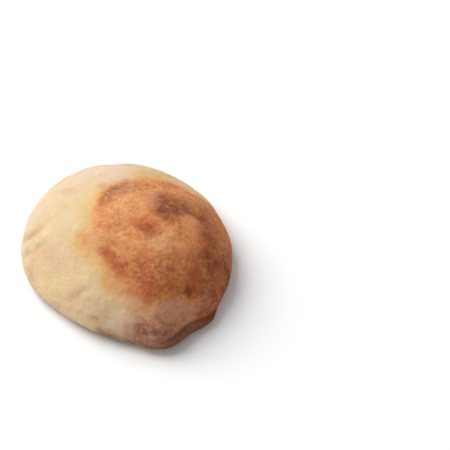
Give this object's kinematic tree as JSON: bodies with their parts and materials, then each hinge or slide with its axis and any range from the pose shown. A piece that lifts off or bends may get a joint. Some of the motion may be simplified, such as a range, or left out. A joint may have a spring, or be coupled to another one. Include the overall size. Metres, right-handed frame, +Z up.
{
  "type": "puccia bread",
  "caption": "Round domed flatbread in one piece, with a browned blistered crown, pale floury flanks and a flat foot.",
  "frame": {"origin": "on the surface that the loaf stands on, under the middle of its outline's bounding box", "axes": "+Z up, -Y towards the loaf's blunt front corner and its flattened front left side, +X to its flattened right side"},
  "size_m": [0.158, 0.1808, 0.0596],
  "materials": {
    "crust": "dry matte bread crust, pale cream at the flanks, golden to reddish brown on the crown"
  },
  "bodies": {
    "root": {"puccia": "crust"}
  },
  "joints": []
}
